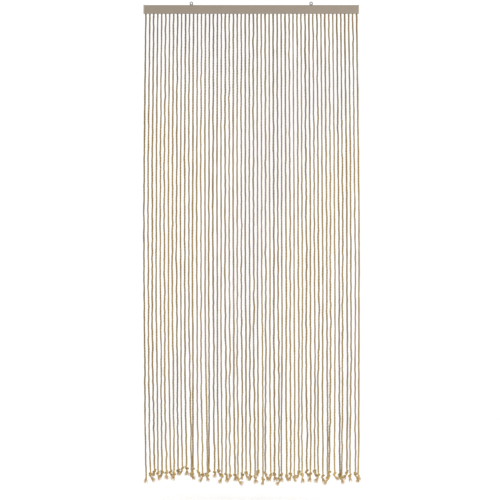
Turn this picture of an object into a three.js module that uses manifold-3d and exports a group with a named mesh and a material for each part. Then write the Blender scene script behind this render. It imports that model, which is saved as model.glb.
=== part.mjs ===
// String door curtain: knotted ropes that hang from a capped rail with two hanging eyes.
// Millimetres, +Z up, +X to the right, +Y to the back. The origin is the middle of the rail's top face.
import * as THREE from "three";
import { mergeVertices } from "three/addons/utils/BufferGeometryUtils.js";
import Module from "manifold-3d";

const wasm = await Module();
wasm.setup();

// Driving dimensions
const CLEARANCE = 0.3; // gap between neighbouring pieces
const RAIL = { width: 900, height: 36, depth: 20, corner: 2.5, cornerSteps: 3 };
const END_CAP = { thickness: 5, proud: 1.2 }; // proud of the rail's top and front
const GROOVE = { width: 9, depth: 10 }; // in the rail's underside, for the heading strip
const STRIP_RECESS = 0.8; // of the heading strip above the rail's underside
const EYE = { spacing: 500, wire: 3.6, outside: 14.4, lift: 0.4, shank: 14 };
const EYE_SIDES = { wire: 8, ring: 20 };
const ROPE = { count: 54, pitch: 16.6, radius: 3.2, sides: 4, spans: 12 };
const ROOT = 5; // length of rope fused into the heading strip

// How the ropes hang. Shares are of a rope's drop from the rail to its knot.
const HANG = {
  fan: 0.021, // the row spreads by this share of its width about half way down
  fanTurns: 0.44, // part of a full sine wave that the spread follows down the drop
  lean: 5, // the hem lies this far to the right of the rail
  depth: 5.5, // neighbours hang in front of and behind the rail's middle by turns
  wander: 1.2, // slow sideways swing of a single rope
  wanderTurns: 2.2,
};

// Drop of the knots below the rail's top face along the hem.
const HEM_LINE = [
  { strand: 1, drop: 1964 },
  { strand: 4, drop: 1945 },
  { strand: 7, drop: 1954 },
  { strand: 10, drop: 1937 },
  { strand: 15, drop: 1954 },
  { strand: 19, drop: 1947 },
  { strand: 22, drop: 1969 },
  { strand: 26, drop: 1961 },
  { strand: 31, drop: 1962 },
  { strand: 36, drop: 1968 },
  { strand: 41, drop: 1954 },
  { strand: 46, drop: 1962 },
  { strand: 54, drop: 1961 },
];
const HEM_UNEVEN = 8; // further rise or fall of a single knot
const LOOSE_STRAND = 1; // the strand whose end is not knotted

// Neighbours that hang closer at the hem than at the rail, with the distance between their centres there.
const DRAWN_TOGETHER = [
  { left: 12, apart: 2.5 },
  { left: 16, apart: 2.5 },
  { left: 18, apart: 12.5 },
  { left: 19, apart: 12 },
  { left: 23, apart: 12 },
  { left: 28, apart: 13 },
  { left: 30, apart: 9 },
  { left: 34, apart: 8.5 },
  { left: 39, apart: 11.5 },
  { left: 43, apart: 13 },
  { left: 46, apart: 6 },
  { left: 49, apart: 7.5 },
  { left: 51, apart: 12 },
  { left: 53, apart: 11.5 },
];
const PAIR_STAGGER = 9; // one knot of such a pair rises by this and the other falls by it

// Sections of an overhand knot and of the frayed tail below it, from the knot's middle downwards.
// Turn is how far a section's corners are turned, in degrees, and lean is the share of the tail's lean.
const KNOT = [
  { along: -9.5, radius: 3.2, turn: 0, lean: 0 },
  { along: -5.5, radius: 6.6, turn: 20, lean: 0 },
  { along: 0, radius: 7.4, turn: 45, lean: 0 },
  { along: 5.5, radius: 6.4, turn: 70, lean: 0.1 },
  { along: 9, radius: 3.4, turn: 90, lean: 0.25 },
];
const TAIL = [
  { along: 18, radius: 3.6, turn: 90, lean: 0.6 },
  { along: 27, radius: 5.4, turn: 90, lean: 1 },
  { along: 30, radius: 3, turn: 90, lean: 1.1 },
];
const TAIL_LEAN = { sideways: 10, depth: 3 };

const COLOURS = { rail: 0xa19687, cap: 0xa99f92, rope: 0xa28f6c, steel: 0x8f908c };

// Where the pieces lie
const EYE_RING_RADIUS = (EYE.outside - EYE.wire) / 2;
const EYE_CENTRE_HEIGHT = EYE.lift + EYE.outside / 2;
const RAIL_BODY_LENGTH = RAIL.width - 2 * (END_CAP.thickness + CLEARANCE);
const STRIP = {
  length: (ROPE.count - 1) * ROPE.pitch + 2 * ROPE.radius + 1,
  depth: GROOVE.width - 2 * CLEARANCE,
  height: GROOVE.depth - CLEARANCE - STRIP_RECESS,
};
const STRIP_BOTTOM = -RAIL.height + STRIP_RECESS;
const RAIL_SECTION = { front: -RAIL.depth / 2, back: RAIL.depth / 2, top: 0, bottom: -RAIL.height };
const EYE_PLACES = [
  { name: "hanging_eye_left", x: -EYE.spacing / 2 },
  { name: "hanging_eye_right", x: EYE.spacing / 2 },
];
const CAP_PLACES = [
  { name: "end_cap_left", x: -RAIL.width / 2 },
  { name: "end_cap_right", x: RAIL.width / 2 - END_CAP.thickness },
];

// Solids for joining and cutting

/** A closed geometry as a solid. */
function toSolid(geometry) {
  const bare = geometry.clone();
  bare.deleteAttribute("normal");
  bare.deleteAttribute("uv");
  const merged = mergeVertices(bare);
  const mesh = new wasm.Mesh({
    numProp: 3,
    vertProperties: new Float32Array(merged.attributes.position.array),
    triVerts: new Uint32Array(merged.index.array),
  });
  return new wasm.Manifold(mesh);
}

/** A solid as a geometry. */
function toGeometry(solid) {
  const mesh = solid.getMesh();
  const geometry = new THREE.BufferGeometry();
  geometry.setAttribute("position", new THREE.BufferAttribute(mesh.vertProperties, 3));
  geometry.setIndex(new THREE.BufferAttribute(mesh.triVerts, 1));
  geometry.computeVertexNormals();
  return geometry;
}

/** A named mesh in a plain finish. */
function piece(name, geometry, color, roughness, metalness = 0) {
  const mesh = new THREE.Mesh(geometry, new THREE.MeshStandardMaterial({ color, roughness, metalness }));
  mesh.name = name;
  return mesh;
}

// Rail

/** A straight side as far as entry, then a rounded corner that ends at exit. */
function roundedCorner(shape, entry, corner, exit) {
  shape.lineTo(entry.x, entry.y);
  shape.quadraticCurveTo(corner.x, corner.y, exit.x, exit.y);
}

/** The rail's outline seen from its end, x to the back and y up, with or without the groove. */
function railOutline({ front, back, top, bottom, groove }) {
  const r = RAIL.corner;
  const point = (x, y) => new THREE.Vector2(x, y);
  const shape = new THREE.Shape();
  shape.moveTo(front, top - r);
  roundedCorner(shape, point(front, bottom + r), point(front, bottom), point(front + r, bottom));
  if (groove) {
    shape.lineTo(-GROOVE.width / 2, bottom);
    shape.lineTo(-GROOVE.width / 2, bottom + GROOVE.depth);
    shape.lineTo(GROOVE.width / 2, bottom + GROOVE.depth);
    shape.lineTo(GROOVE.width / 2, bottom);
  }
  roundedCorner(shape, point(back - r, bottom), point(back, bottom), point(back, bottom + r));
  roundedCorner(shape, point(back, top - r), point(back, top), point(back - r, top));
  roundedCorner(shape, point(front + r, top), point(front, top), point(front, top - r));
  return shape;
}

/** An outline drawn out to the right along X, from x = 0. */
function drawnOut(outline, length) {
  const options = { depth: length, bevelEnabled: false, curveSegments: RAIL.cornerSteps };
  const [toBack, up, toRight] = [[0, 1, 0], [0, 0, 1], [1, 0, 0]].map((v) => new THREE.Vector3(...v));
  const turned = new THREE.Matrix4().makeBasis(toBack, up, toRight);
  return new THREE.ExtrudeGeometry(outline, options).applyMatrix4(turned);
}

/** An upright round bar about the Z axis, from the height bottom to top. */
function uprightBar(radius, bottom, top) {
  const bar = new THREE.CylinderGeometry(radius, radius, top - bottom, EYE_SIDES.wire);
  return bar.rotateX(Math.PI / 2).translate(0, 0, (bottom + top) / 2);
}

/** The grooved bar, with a pilot hole for each eye's shank. */
function rail() {
  const outline = railOutline({ ...RAIL_SECTION, groove: true });
  const left = -RAIL_BODY_LENGTH / 2;
  let solid = toSolid(drawnOut(outline, RAIL_BODY_LENGTH));
  const flatClearance = CLEARANCE / Math.cos(Math.PI / EYE_SIDES.wire);
  const pilotHole = uprightBar(EYE.wire / 2 + flatClearance, -EYE.shank - CLEARANCE, EYE.lift);
  for (const { x } of EYE_PLACES) {
    solid = solid.subtract(toSolid(pilotHole.clone().translate(x - left, 0, 0)));
  }
  const mesh = piece("rail", toGeometry(solid), COLOURS.rail, 0.55);
  mesh.position.x = left;
  return mesh;
}

/** A plate that closes one end of the rail and its groove. */
function endCap({ name, x }) {
  const { front, back, top, bottom } = RAIL_SECTION;
  const section = { front: front - END_CAP.proud, back, top: top + END_CAP.proud, bottom, groove: false };
  const mesh = piece(name, drawnOut(railOutline(section), END_CAP.thickness), COLOURS.cap, 0.5);
  mesh.position.x = x;
  return mesh;
}

// Hanging eyes

/** A closed ring that faces the front, on a shank that goes down into the rail. */
function hangingEye({ name, x }) {
  const ring = new THREE.TorusGeometry(EYE_RING_RADIUS, EYE.wire / 2, EYE_SIDES.wire, EYE_SIDES.ring);
  ring.rotateX(Math.PI / 2).translate(0, 0, EYE_CENTRE_HEIGHT);
  const shank = uprightBar(EYE.wire / 2, -EYE.shank, EYE_CENTRE_HEIGHT - EYE_RING_RADIUS);
  const geometry = toGeometry(toSolid(ring).add(toSolid(shank)));
  const mesh = piece(name, geometry, COLOURS.steel, 0.35, 0.9);
  mesh.position.x = x;
  return mesh;
}

// Ropes

/** A steady uneven number from -1 to 1 for a strand: the fractional part of its multiples of a root. */
function uneven(strand, root) {
  const multiple = strand * Math.sqrt(root);
  return 2 * (multiple - Math.floor(multiple)) - 1;
}

/** +1 for strands that hang in front, which is towards -Y, and -1 for those behind. */
function depthSide(strand) {
  return strand % 2 === 0 ? 1 : -1;
}

/** How far its close neighbours draw a strand sideways at the hem, and how far its knot falls there. */
function drawnBy(strand) {
  let shift = 0;
  let fall = 0;
  for (const { left, apart } of DRAWN_TOGETHER) {
    const pull = (ROPE.pitch - apart) / 2;
    if (strand === left) shift += pull;
    if (strand === left + 1) shift -= pull;
    if (strand === left || strand === left + 1) fall = depthSide(strand) * PAIR_STAGGER;
  }
  return { shift, fall };
}

/** Drop of a strand's knot below the rail's top face. */
function knotDrop(strand) {
  const next = Math.max(1, HEM_LINE.findIndex((row) => row.strand >= strand));
  const [before, after] = [HEM_LINE[next - 1], HEM_LINE[next]];
  const share = (strand - before.strand) / (after.strand - before.strand);
  const line = THREE.MathUtils.lerp(before.drop, after.drop, THREE.MathUtils.smoothstep(share, 0, 1));
  return line + drawnBy(strand).fall + HEM_UNEVEN * uneven(strand, 3);
}

/** A strand's centre at a share of its drop: 0 at the rail's underside, 1 at its knot's middle. */
function strandCentre(strand, share) {
  const root = (strand - (ROPE.count + 1) / 2) * ROPE.pitch;
  const fan = HANG.fan * root * Math.sin(2 * Math.PI * HANG.fanTurns * share);
  const wave = 2 * Math.PI * HANG.wanderTurns * share;
  const wander = HANG.wander * share * Math.sin(wave + Math.PI * uneven(strand, 5));
  const x = root + fan + HANG.lean * share ** 2 + drawnBy(strand).shift * share ** 3 + wander;
  const y = -depthSide(strand) * HANG.depth * share ** 2;
  const z = THREE.MathUtils.lerp(-RAIL.height, -knotDrop(strand), share);
  return new THREE.Vector3(x, y, z);
}

/** A strand's sections from its root in the heading strip to the end of its tail. */
function strandSections(strand) {
  const root = strandCentre(strand, 0);
  const knot = strandCentre(strand, 1);
  const knotted = strand !== LOOSE_STRAND;
  const ends = [...(knotted ? KNOT : []), ...TAIL];
  const straightEnd = 1 + ends[0].along / (root.z - knot.z);
  const sections = [{ centre: root.clone().setZ(root.z + ROOT), radius: ROPE.radius, turn: 0 }];
  for (let span = 1; span < ROPE.spans; span++) {
    const centre = strandCentre(strand, (span / ROPE.spans) * straightEnd);
    sections.push({ centre, radius: ROPE.radius, turn: 0 });
  }
  const sideways = TAIL_LEAN.sideways * uneven(strand, 2);
  const depth = -depthSide(strand) * TAIL_LEAN.depth;
  for (const { along, radius, turn, lean } of ends) {
    const centre = knot.clone().add(new THREE.Vector3(sideways * lean, depth * lean, -along));
    sections.push({ centre, radius, turn });
  }
  return sections;
}

/** A closed solid through level sections of the same number of corners, given from the top down. */
function loft(sections) {
  const positions = [];
  for (const { centre, radius, turn } of sections) {
    for (let corner = 0; corner < ROPE.sides; corner++) {
      const angle = (2 * Math.PI * corner) / ROPE.sides + THREE.MathUtils.degToRad(turn);
      positions.push(centre.x + radius * Math.cos(angle), centre.y + radius * Math.sin(angle), centre.z);
    }
  }
  const index = [];
  const at = (section, corner) => section * ROPE.sides + (corner % ROPE.sides);
  for (let section = 0; section + 1 < sections.length; section++) {
    for (let corner = 0; corner < ROPE.sides; corner++) {
      index.push(at(section, corner), at(section + 1, corner), at(section, corner + 1));
      index.push(at(section, corner + 1), at(section + 1, corner), at(section + 1, corner + 1));
    }
  }
  const last = sections.length - 1;
  for (let corner = 1; corner + 1 < ROPE.sides; corner++) {
    index.push(at(0, 0), at(0, corner), at(0, corner + 1));
    index.push(at(last, 0), at(last, corner + 1), at(last, corner));
  }
  const geometry = new THREE.BufferGeometry();
  geometry.setAttribute("position", new THREE.Float32BufferAttribute(positions, 3));
  return geometry.setIndex(index);
}

/** All the ropes with the heading strip that holds their roots inside the rail's groove. */
function ropes() {
  const strip = new THREE.BoxGeometry(STRIP.length, STRIP.depth, STRIP.height);
  let solid = toSolid(strip.translate(0, 0, STRIP_BOTTOM + STRIP.height / 2));
  for (let strand = 1; strand <= ROPE.count; strand++) {
    solid = solid.add(toSolid(loft(strandSections(strand))));
  }
  return piece("ropes", toGeometry(solid), COLOURS.rope, 0.9);
}

// Assembly
const curtain = new THREE.Group();
curtain.name = "string_door_curtain";
curtain.add(rail());
curtain.add(...CAP_PLACES.map(endCap));
curtain.add(...EYE_PLACES.map(hangingEye));
curtain.add(ropes());

export default curtain;
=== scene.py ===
"""String door curtain: knotted, frayed ropes that hang from a capped rail with two screw eyes.

Sizes are in millimetres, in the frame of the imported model: the origin is the middle of the rail's top face,
+X runs to the right, +Y to the back and +Z up. Meshes are in metres.
"""

from __future__ import annotations

import logging
import math
from dataclasses import dataclass
from enum import Enum
from typing import Any, NamedTuple

import bmesh
import bpy
import numpy as np
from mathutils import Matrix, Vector

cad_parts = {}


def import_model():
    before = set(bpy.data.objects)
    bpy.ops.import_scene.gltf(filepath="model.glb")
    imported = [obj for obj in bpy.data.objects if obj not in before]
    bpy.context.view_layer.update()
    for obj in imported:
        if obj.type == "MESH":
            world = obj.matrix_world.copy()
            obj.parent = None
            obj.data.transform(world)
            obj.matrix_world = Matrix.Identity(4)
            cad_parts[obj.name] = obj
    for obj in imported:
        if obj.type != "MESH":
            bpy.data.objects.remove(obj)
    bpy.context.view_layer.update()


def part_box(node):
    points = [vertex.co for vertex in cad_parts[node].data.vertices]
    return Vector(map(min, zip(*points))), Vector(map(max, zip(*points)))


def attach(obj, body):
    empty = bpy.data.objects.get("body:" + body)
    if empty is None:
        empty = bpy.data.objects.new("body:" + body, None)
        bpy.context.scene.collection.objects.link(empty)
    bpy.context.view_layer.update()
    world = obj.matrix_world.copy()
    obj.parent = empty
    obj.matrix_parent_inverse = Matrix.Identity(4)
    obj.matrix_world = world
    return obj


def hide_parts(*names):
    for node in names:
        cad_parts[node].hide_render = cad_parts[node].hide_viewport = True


LOG = logging.getLogger("string_door_curtain")
MM = 0.001  # metres in a millimetre
BODY = "root"  # the one body of a part with no joints

# Settings that many nodes share
COLOURS = {"data_type": "RGBA"}
VECTORS = {"data_type": "FLOAT_VECTOR"}
ADD = {"operation": "ADD"}
SUBTRACT = {"operation": "SUBTRACT"}
MULTIPLY = {"operation": "MULTIPLY"}
MULTIPLY_ADD = {"operation": "MULTIPLY_ADD"}
SCALE = {"operation": "SCALE"}

Outline = list[tuple[float, float]]  # points (y, z) round a section across the rail
Bow = tuple[tuple[float, float, float], ...]  # start, middle and end of a fibre, in shares of its length


class Slot(Enum):
    """Material slots for the pieces."""

    RAIL = "rail"
    END_CAP = "end_cap"
    ROPE = "rope"
    STEEL = "steel"


class Side(Enum):
    """An end of the rail, by its name in the solids."""

    LEFT = "left"
    RIGHT = "right"


class Mark(Enum):
    """What the points of a rope, a tuft or a wire carry to its tree and its finish."""

    ALONG = "along"  # metres from the rope's root
    STRAND = "strand"  # number of the strand, from 1 at the left
    HEM = "hem"  # 0 on the plain drop, rising to 1 at the knot and tail
    GIRTH = "girth"  # share of the plain radius
    CRINKLE = "crinkle"  # share of the full crinkle
    TONE = "tone"  # how light the rope is, as a share of its plain colour: its own random tone, with painted shade near the rail
    TURNS = "turns"  # turns of its plies from the root
    SECTION = "section"  # place in the rope's section, in shares of its radius
    WAY = "way"  # direction of a tail's end
    SPREAD = "spread"  # how far a tail's fibres stand apart
    LENGTH = "length"  # share of a whole tail
    TINT = "tint"  # a number from 0 to 1 for each fibre


class Trait(Enum):
    """What differs from strand to strand, with the root that its uneven numbers come from."""

    TAIL_LEAN = 2
    HEM = 3
    WANDER = 5
    TAIL_LENGTH = 6
    KNOT_TURN = 7
    LIVELINESS = 11
    GIRTH = 13  # of the rope, and so of its spread tail
    TONE = 17
    LAY = 19


# Helpers for meshes and node trees


def linear(colour: str) -> tuple[float, float, float, float]:
    """Turns an sRGB hex colour to linear.

    Args:
        colour: six hex digits after a hash.

    Returns:
        Linear red, green and blue, with an alpha of 1.
    """
    parts = [int(colour[place : place + 2], 16) / 255 for place in (1, 3, 5)]
    red, green, blue = (
        part / 12.92 if part <= 0.04045 else ((part + 0.055) / 1.055) ** 2.4 for part in parts
    )
    return red, green, blue, 1.0


def smooth_step(share: np.ndarray | float) -> np.ndarray:
    """Eases a share from 0 to 1 with level ends."""
    held = np.clip(share, 0.0, 1.0)
    return held * held * (3 - 2 * held)


def feed_node(
    node: bpy.types.Node,
    values: dict[str | int, Any],
    links: dict[str | int, bpy.types.NodeSocket | bpy.types.Node],
) -> None:
    """Sets a node's inputs.

    Args:
        node: the node.
        values: constants for its inputs, by name or place.
        links: what feeds its inputs, by name or place: a socket, or a node for its first output in use.
    """
    for key, value in values.items():
        node.inputs[key].default_value = value
    for key, source in links.items():
        if isinstance(source, bpy.types.Node):
            source = next(socket for socket in source.outputs if socket.enabled)
        node.id_data.links.new(source, node.inputs[key])


def add_node(
    tree: bpy.types.NodeTree,
    kind: str,
    settings: dict[str, Any] | None = None,
    values: dict[str | int, Any] | None = None,
    links: dict[str | int, bpy.types.NodeSocket | bpy.types.Node] | None = None,
) -> bpy.types.Node:
    """Adds a node to a shader or geometry tree.

    Args:
        tree: the tree that gets the node.
        kind: Blender's name for the kind of node.
        settings: the node's own properties.
        values: constants for its inputs.
        links: what feeds its inputs.

    Returns:
        The new node.
    """
    node = tree.nodes.new(kind)
    for name, value in (settings or {}).items():
        setattr(node, name, value)
    feed_node(node, values or {}, links or {})
    return node


def new_tree(
    name: str, inputs: dict[str, Any]
) -> tuple[bpy.types.NodeTree, bpy.types.NodeOutputs]:
    """Starts a Geometry Nodes tree with named inputs.

    Args:
        name: the tree's name.
        inputs: a value for each input after the geometry, by the input's name.

    Returns:
        The tree and the sockets of its inputs.
    """
    tree = bpy.data.node_groups.new(name, "GeometryNodeTree")
    for flow in ("INPUT", "OUTPUT"):
        tree.interface.new_socket("Geometry", in_out=flow, socket_type="NodeSocketGeometry")
    kinds = {float: "NodeSocketFloat", int: "NodeSocketInt"}
    for label, value in inputs.items():
        kind = kinds.get(type(value), "NodeSocketMaterial")
        tree.interface.new_socket(label, in_out="INPUT", socket_type=kind)
    return tree, add_node(tree, "NodeGroupInput").outputs


def bent_fibre(
    tree: bpy.types.NodeTree,
    bends: Bow,
    length: bpy.types.NodeSocket,
    radius: bpy.types.NodeSocket,
    taper: bpy.types.Node | None = None,
) -> bpy.types.Node:
    """Adds a fibre with three sides along a bow.

    Args:
        tree: the geometry tree that gets it.
        bends: the bow.
        length: the input that holds the fibre's length.
        radius: the input that holds its radius.
        taper: share of the radius along it, where it is tapered.

    Returns:
        The fibre's mesh.
    """
    bow = add_node(
        tree, "GeometryNodeCurveQuadraticBezier",
        values={"Resolution": 2, **dict(zip(("Start", "Middle", "End"), bends))},
    )
    lengths = add_node(tree, "ShaderNodeCombineXYZ", links={axis: length for axis in "XYZ"})
    longer = add_node(tree, "GeometryNodeTransform", links={"Geometry": bow, "Scale": lengths})
    thread = add_node(
        tree, "GeometryNodeCurvePrimitiveCircle", values={"Resolution": 3}, links={"Radius": radius}
    )
    links = {"Curve": longer, "Profile Curve": thread}
    if taper:
        links["Scale"] = taper
    return add_node(tree, "GeometryNodeCurveToMesh", values={"Fill Caps": True}, links=links)


def scattered(
    tree: bpy.types.NodeTree,
    seed: bpy.types.NodeSocket,
    rotation: bpy.types.NodeSocket,
    sizes: tuple[float, float],
) -> tuple[bpy.types.Node, bpy.types.Node]:
    """Adds a random spin and a random size for each instance.

    Args:
        tree: the geometry tree that gets them.
        seed: the input that holds the seed.
        rotation: which way each instance stands.
        sizes: the least and the greatest size.

    Returns:
        The rotation with the spin about the instance's own axis, and the size.
    """
    spin, size = (
        add_node(
            tree, "FunctionNodeRandomValue",
            values={"Min": least, "Max": most}, links={"Seed": seed},
        )
        for least, most in ((0.0, math.tau), sizes)
    )
    about = add_node(
        tree, "FunctionNodeAxisAngleToRotation",
        values={"Axis": (0.0, 0.0, 1.0)}, links={"Angle": spin},
    )
    turned = add_node(
        tree, "FunctionNodeRotateRotation", {"rotation_space": "LOCAL"},
        links={"Rotation": rotation, "Rotate By": about},
    )
    return turned, size


def end_tree(tree: bpy.types.NodeTree, geometry: bpy.types.Node, material: bpy.types.NodeSocket) -> None:
    """Ends a tree in plain, dressed geometry.

    Args:
        tree: the tree to end.
        geometry: the node that gives what the tree has made.
        material: the input that holds its finish.
    """
    real = add_node(tree, "GeometryNodeRealizeInstances", links={"Geometry": geometry})
    dressed = add_node(tree, "GeometryNodeSetMaterial", links={"Geometry": real, "Material": material})
    add_node(tree, "NodeGroupOutput", links={0: dressed})


def run_tree(
    piece: bpy.types.Object, tree: bpy.types.NodeTree, inputs: dict[str, Any]
) -> bpy.types.Object:
    """Runs a tree on an object and keeps the result as the object's plain mesh.

    Args:
        piece: the object whose mesh goes into the tree.
        tree: the tree to run.
        inputs: a value for each of the tree's inputs, by the input's name.

    Returns:
        The same object, with its new mesh and no modifier.
    """
    modifier = piece.modifiers.new(tree.name, "NODES")
    modifier.node_group = tree
    for socket in tree.interface.items_tree:
        if socket.in_out == "INPUT" and socket.name in inputs:
            modifier[socket.identifier] = inputs[socket.name]
    graph = bpy.context.evaluated_depsgraph_get()
    made = bpy.data.meshes.new_from_object(
        piece.evaluated_get(graph), preserve_all_data_layers=True, depsgraph=graph
    )
    piece.modifiers.remove(modifier)
    made.name = piece.name
    piece.data = made
    return piece


def add_object(name: str, mesh: bpy.types.Mesh) -> bpy.types.Object:
    """Puts a mesh into the scene as an object at the origin."""
    made = bpy.data.objects.new(name, mesh)
    bpy.context.scene.collection.objects.link(made)
    return made


def mesh_object(name: str, shape: bmesh.types.BMesh, material: bpy.types.Material) -> bpy.types.Object:
    """Makes an object of a finished shape in metres.

    Args:
        name: the piece's name.
        shape: its mesh, which is freed.
        material: its finish.

    Returns:
        The new object.
    """
    bmesh.ops.recalc_face_normals(shape, faces=shape.faces)
    mesh = bpy.data.meshes.new(name)
    shape.to_mesh(mesh)
    shape.free()
    mesh.materials.append(material)
    return add_object(name, mesh)


def path_object(
    name: str, paths: list[np.ndarray], marks: dict[Mark, list[np.ndarray]]
) -> bpy.types.Object:
    """Makes an object of open lines for a tree to sweep.

    Args:
        name: the piece's name.
        paths: the points of each line in millimetres.
        marks: for each mark, its values along each line.

    Returns:
        An object with a vertex for each point, which carries the marks.
    """
    edges: list[tuple[int, int]] = []
    start = 0
    for path in paths:
        edges += [(start + step, start + step + 1) for step in range(len(path) - 1)]
        start += len(path)
    mesh = bpy.data.meshes.new(name)
    mesh.from_pydata(np.concatenate(paths) * MM, edges, [])
    for mark, values in marks.items():
        joined = np.concatenate(values).astype(np.float32)
        kind, part = ("FLOAT", "value") if joined.ndim == 1 else ("FLOAT_VECTOR", "vector")
        mesh.attributes.new(mark.value, kind, "POINT").data.foreach_set(part, joined.ravel())
    return add_object(name, mesh)


def smooth_by_angle(piece: bpy.types.Object, degrees: float) -> None:
    """Shades a piece smooth, with sharp edges where its faces meet at more than an angle."""
    piece.data.shade_smooth()
    piece.data.set_sharp_from_angle(angle=math.radians(degrees))


def seat(piece: bpy.types.Object, slot: Slot, *nodes: str) -> None:
    """Fixes a piece to the part, in the place of the solids that it stands for.

    Args:
        piece: the finished piece.
        slot: not used.
        nodes: the solids that it replaces.
    """
    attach(piece, BODY)
    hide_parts(*nodes)


# Finishes


def new_material(name: str) -> tuple[bpy.types.Material, bpy.types.NodeTree, bpy.types.Node]:
    """Starts a material.

    Args:
        name: the material's name.

    Returns:
        The material, its node tree and its Principled shader.
    """
    material = bpy.data.materials.new(name)
    material.use_nodes = True
    return material, material.node_tree, material.node_tree.nodes["Principled BSDF"]


@dataclass(frozen=True)
class LaidRope:
    """Natural bast fibre, spun and laid up in two plies: dull and streaky, with shade painted darker between
    the plies.
    """

    name: str = "laid_bast_rope"
    grey_colour: str = "#9b8862"
    brown_colour: str = "#a98959"
    pale_colour: str = "#d2bd89"
    straw_colour: str = "#a4864f"
    fair_colour: str = "#d0b475"
    hem_cover: float = 0.85
    # painted shade: the colour the rope darkens to in the grooves between its plies
    groove_shade_colour: str = "#5a482a"
    groove_floor: float = 0.8  # of the rope's radius, where the plies meet
    groove_brim: float = 0.97  # of the radius, where the groove's shade ends
    groove_shade: float = 0.85
    fibre_width: float = 0.7  # twice a real bundle's, so that the streaks show
    fibre_length: float = 22.0
    streak_range: tuple[float, float] = (0.38, 0.66)  # of the noise, from dark fibres to pale ones
    blotch_length: float = 140.0
    blotch_range: tuple[float, float] = (0.25, 0.75)
    blotch_floor: float = 0.35  # share of the pale fibres that is left in a dark stretch
    rope_radius: float = 3.2  # of the solids' plain rope, which turns section places to millimetres
    bump_height: float = 0.6
    roughness: float = 0.9
    ior: float = 1.53  # cellulose
    gloss: float = 0.2  # under a smooth surface's 0.5, because the fibres catch their own shine

    def build(self) -> bpy.types.Material:
        """Makes the material, which follows the rope's own marks.

        Returns:
            The material.
        """
        material, tree, shader = new_material(self.name)
        along, strand, hem, section, tone = (
            add_node(tree, "ShaderNodeAttribute", {"attribute_name": mark.value}).outputs
            for mark in (Mark.ALONG, Mark.STRAND, Mark.HEM, Mark.SECTION, Mark.TONE)
        )
        across = add_node(
            tree, "ShaderNodeVectorMath", SCALE,
            {"Scale": self.rope_radius / self.fibre_width}, {0: section["Vector"]},
        )
        lengthwise = add_node(
            tree, "ShaderNodeMath", MULTIPLY, {1: 1 / (self.fibre_length * MM)}, {0: along["Fac"]}
        )
        down = add_node(tree, "ShaderNodeCombineXYZ", links={"Z": lengthwise})
        place = add_node(tree, "ShaderNodeVectorMath", ADD, links={0: across, 1: down})
        streaks = add_node(
            tree, "ShaderNodeTexNoise", {"noise_dimensions": "4D"}, {"Scale": 1.0, "Detail": 2.0},
            {"Vector": place, "W": strand["Fac"]},
        )
        slow = add_node(
            tree, "ShaderNodeMath", MULTIPLY, {1: 1 / (self.blotch_length * MM)}, {0: along["Fac"]}
        )
        blotch_place = add_node(tree, "ShaderNodeCombineXYZ", links={"X": slow, "Y": strand["Fac"]})
        blotches = add_node(
            tree, "ShaderNodeTexNoise", {"noise_dimensions": "2D"}, {"Scale": 1.0, "Detail": 1.0},
            {"Vector": blotch_place},
        )
        streak_share = add_node(
            tree, "ShaderNodeMapRange",
            values=dict(zip(("From Min", "From Max"), self.streak_range)), links={"Value": streaks},
        )
        blotch_ends = dict(zip(("From Min", "From Max"), self.blotch_range))
        blotch_share = add_node(
            tree, "ShaderNodeMapRange",
            values={**blotch_ends, "To Min": self.blotch_floor}, links={"Value": blotches},
        )
        pale_share = add_node(
            tree, "ShaderNodeMath", MULTIPLY, links={0: streak_share, 1: blotch_share}
        )
        own_hue = add_node(
            tree, "ShaderNodeTexWhiteNoise", {"noise_dimensions": "1D"}, links={"W": strand["Fac"]}
        )
        dark = add_node(
            tree, "ShaderNodeMix", COLOURS,
            {"A": linear(self.grey_colour), "B": linear(self.brown_colour)}, {"Factor": own_hue},
        )
        plain = add_node(
            tree, "ShaderNodeMix", COLOURS,
            {"B": linear(self.pale_colour)}, {"Factor": pale_share, "A": dark},
        )
        reach = add_node(
            tree, "ShaderNodeVectorMath", {"operation": "LENGTH"}, links={0: section["Vector"]}
        )
        # painted shade: the rope darkens towards the grooves between its plies
        groove = add_node(
            tree, "ShaderNodeMapRange",
            values={
                "From Min": self.groove_floor, "From Max": self.groove_brim,
                "To Min": self.groove_shade, "To Max": 0.0,
            },
            links={"Value": reach},
        )
        shaded_in_grooves = add_node(
            tree, "ShaderNodeMix", COLOURS,
            {"B": linear(self.groove_shade_colour)}, {"Factor": groove, "A": plain},
        )
        straw = add_node(
            tree, "ShaderNodeMix", COLOURS,
            {"A": linear(self.straw_colour), "B": linear(self.fair_colour)}, {"Factor": streak_share},
        )
        hem_share = add_node(tree, "ShaderNodeMath", MULTIPLY, {1: self.hem_cover}, {0: hem["Fac"]})
        colour = add_node(
            tree, "ShaderNodeMix", COLOURS, links={"Factor": hem_share, "A": shaded_in_grooves, "B": straw}
        )
        # the tone mark carries each rope's own random tone and the painted shade near the rail
        toned = add_node(
            tree, "ShaderNodeVectorMath", SCALE, links={0: colour, "Scale": tone["Fac"]}
        )
        bump = add_node(
            tree, "ShaderNodeBump",
            values={"Strength": 1.0, "Distance": self.bump_height * MM}, links={"Height": streaks},
        )
        skin = {"Roughness": self.roughness, "IOR": self.ior, "Specular IOR Level": self.gloss}
        feed_node(shader, skin, {"Base Color": toned, "Normal": bump})
        return material


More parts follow.
